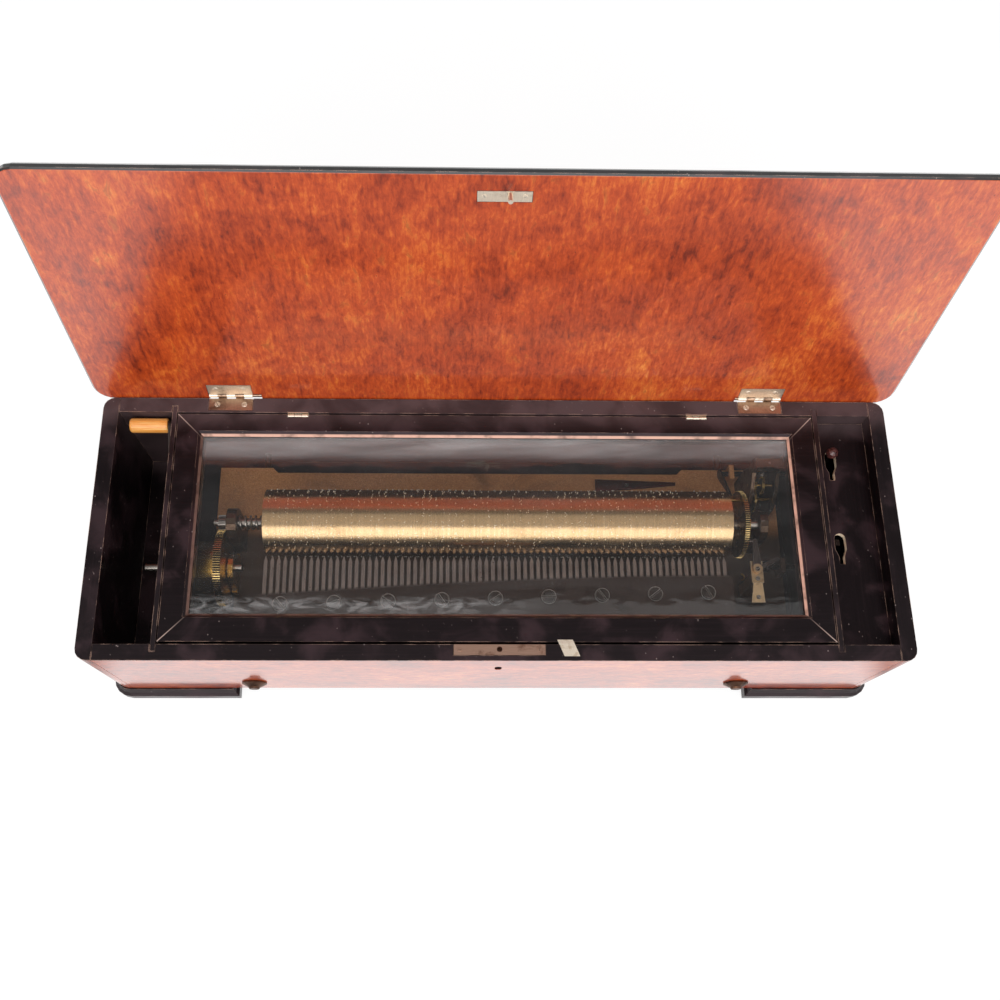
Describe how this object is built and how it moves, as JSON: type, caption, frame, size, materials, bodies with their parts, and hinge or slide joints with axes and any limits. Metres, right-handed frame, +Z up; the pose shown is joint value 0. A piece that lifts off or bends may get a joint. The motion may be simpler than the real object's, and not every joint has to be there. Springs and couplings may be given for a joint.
{
  "type": "cylinder music box",
  "caption": "Lever-wound cylinder music box: wooden case on bracket feet, hinged lid, glass inner lid, pinned cylinder and tuned comb, spring barrel, air-brake governor and control levers",
  "frame": {"origin": "middle of the footprint with the lid open, on the plane that the feet stand on", "axes": "+X along the case to the right seen from the front, +Y to the back where the lid is hinged, +Z up"},
  "size_m": [0.5714, 0.2398, 0.3082],
  "materials": {
    "red_polished_wood": "French polished, figured, red-brown, ebonised inside and on the rim",
    "ebonised_wood": "ebonised, worn satin",
    "boxwood": "turned and polished",
    "brass": "lacquered, slightly tarnished",
    "dull_brass": "dull, browned",
    "steel": "ground",
    "dark_steel": "dark, oiled",
    "nickel": "pale brass, polished",
    "painted_iron": "bronze-brown paint",
    "glass": "clear polished pane",
    "tape": "cream woven tape, worn"
  },
  "bodies": {
    "case": {"front_board": "red_polished_wood", "back_board": "red_polished_wood", "left_end_board": "red_polished_wood", "right_end_board": "red_polished_wood", "bottom_board": "red_polished_wood", "front_left_foot": "ebonised_wood", "front_right_foot": "ebonised_wood", "back_left_foot": "ebonised_wood", "back_right_foot": "ebonised_wood", "front_left_bed_bolt": "dull_brass", "front_right_bed_bolt": "dull_brass", "back_left_bed_bolt": "dull_brass", "back_right_bed_bolt": "dull_brass", "lock_case": "dull_brass", "left_hinge_case_leaf": "nickel", "right_hinge_case_leaf": "nickel", "glass_hinge_left_wall_leaf": "nickel", "glass_hinge_right_wall_leaf": "nickel", "left_partition": "ebonised_wood", "right_partition": "ebonised_wood", "control_board": "ebonised_wood", "bedplate": "painted_iron", "cylinder_left_cock": "brass", "cylinder_right_cock": "brass", "barrel_left_bridge": "brass", "barrel_right_bridge": "brass", "comb_base": "brass", "comb": "steel", "stop_bracket": "brass", "governor_frame": "brass"},
    "lid": {"lid_board": "red_polished_wood", "lid_catch": "steel", "left_hinge_lid_leaf": "nickel", "right_hinge_lid_leaf": "nickel"},
    "glass_lid": {"glass_lid_frame": "ebonised_wood", "glass_pane": "glass", "glass_hinge_left_frame_leaf": "nickel", "glass_hinge_right_frame_leaf": "nickel", "pull_tab": "tape"},
    "winding_lever": {"winding_lever": "steel", "lever_grip": "boxwood"},
    "lever_click": {"lever_click": "steel"},
    "holding_click": {"holding_click": "steel"},
    "winding_arbor": {"winding_arbor": "steel"},
    "spring_barrel": {"spring_barrel": "brass", "barrel_cover": "brass", "mainspring": "steel"},
    "cylinder_arbor": {"cylinder_arbor": "steel", "drive_wheel": "brass", "shift_spring": "steel"},
    "cylinder": {"cylinder": "brass"},
    "tune_snail": {"tune_snail": "steel"},
    "governor_first": {"governor_first_arbor": "brass"},
    "governor_second": {"governor_second_arbor": "brass"},
    "endless_screw": {"endless_screw": "steel"},
    "start_lever": {"start_lever": "dark_steel"},
    "change_lever": {"change_lever": "dark_steel", "change_knob": "ebonised_wood"},
    "stop_arm": {"stop_arm": "steel"},
    "lock_bolt": {"lock_bolt": "steel"}
  },
  "joints": [
    {"name": "lid_hinge", "type": "hinge", "parent": "case", "child": "lid", "pos_m": [0, 0.078, 0.1122], "axis": [-1, 0, 0], "range_deg": [-100.5, 0]},
    {"name": "glass_lid_hinge", "type": "hinge", "parent": "case", "child": "glass_lid", "pos_m": [0, 0.0635, 0.1089], "axis": [-1, 0, 0], "range_deg": [0, 95]},
    {"name": "winding_lever_swing", "type": "hinge", "parent": "case", "child": "winding_lever", "pos_m": [-0.2348, -0.03541, 0.06098], "axis": [1, 0, 0], "range_deg": [0, 105]},
    {"name": "lever_click_lift", "type": "hinge", "parent": "winding_lever", "child": "lever_click", "pos_m": [-0.2388, -0.01616, 0.06938], "axis": [-1, 0, 0], "range_deg": [0, 20], "stiffness_Nm_per_rad": 0.004},
    {"name": "holding_click_lift", "type": "hinge", "parent": "case", "child": "holding_click", "pos_m": [-0.2388, -0.01998, 0.04259], "axis": [1, 0, 0], "range_deg": [0, 20], "stiffness_Nm_per_rad": 0.004},
    {"name": "winding_arbor_turn", "type": "hinge", "parent": "case", "child": "winding_arbor", "pos_m": [-0.2388, -0.03541, 0.06098], "axis": [1, 0, 0], "continuous": true},
    {"name": "cylinder_turn", "type": "hinge", "parent": "case", "child": "cylinder_arbor", "pos_m": [-0.1647, -0.0065, 0.077], "axis": [1, 0, 0], "continuous": true},
    {"name": "barrel_turn", "type": "hinge", "parent": "case", "child": "spring_barrel", "pos_m": [-0.1995, -0.03541, 0.06098], "axis": [1, 0, 0], "continuous": true},
    {"name": "governor_first_turn", "type": "hinge", "parent": "case", "child": "governor_first", "pos_m": [0.1874, 0.01801, 0.06557], "axis": [1, 0, 0], "continuous": true},
    {"name": "governor_second_turn", "type": "hinge", "parent": "case", "child": "governor_second", "pos_m": [0.1874, 0.0255, 0.07449], "axis": [1, 0, 0], "continuous": true},
    {"name": "fly_turn", "type": "hinge", "parent": "case", "child": "endless_screw", "pos_m": [0.1975, 0.03335, 0.0982], "axis": [0, 0, 1], "continuous": true},
    {"name": "snail_turn", "type": "hinge", "parent": "cylinder_arbor", "child": "tune_snail", "pos_m": [0.1755, -0.00893, 0.06321], "axis": [1, 0, 0], "range_deg": [0, 300]},
    {"name": "cylinder_shift", "type": "slide", "parent": "cylinder_arbor", "child": "cylinder", "axis": [1, 0, 0], "range_m": [-0.0015, 0], "deforming": ["shift_spring"]},
    {"name": "start_lever_turn", "type": "hinge", "parent": "case", "child": "start_lever", "pos_m": [0.242, -0.0304, 0.051], "axis": [1, 0, 0], "range_deg": [0, 15]},
    {"name": "stop_arm_turn", "type": "hinge", "parent": "case", "child": "stop_arm", "pos_m": [0.1874, -0.0411, 0.0776], "axis": [0, 0, -1], "range_deg": [0, 5]},
    {"name": "change_lever_turn", "type": "hinge", "parent": "case", "child": "change_lever", "pos_m": [0.242, 0.0442, 0.051], "axis": [1, 0, 0], "range_deg": [0, 8]},
    {"name": "lock_bolt_slide", "type": "slide", "parent": "case", "child": "lock_bolt", "axis": [-1, 0, 0], "range_m": [0, 0.0046]}
  ],
  "couplings": [
    {"joint": "barrel_turn", "follows": "cylinder_turn", "ratio": -0.17647},
    {"joint": "governor_first_turn", "follows": "cylinder_turn", "ratio": -8},
    {"joint": "governor_second_turn", "follows": "cylinder_turn", "ratio": 38.4},
    {"joint": "fly_turn", "follows": "cylinder_turn", "ratio": -921.6},
    {"joint": "snail_turn", "follows": "cylinder_shift", "rad_per_m": -3490.7},
    {"joint": "stop_arm_turn", "follows": "start_lever_turn", "ratio": 0.33}
  ]
}
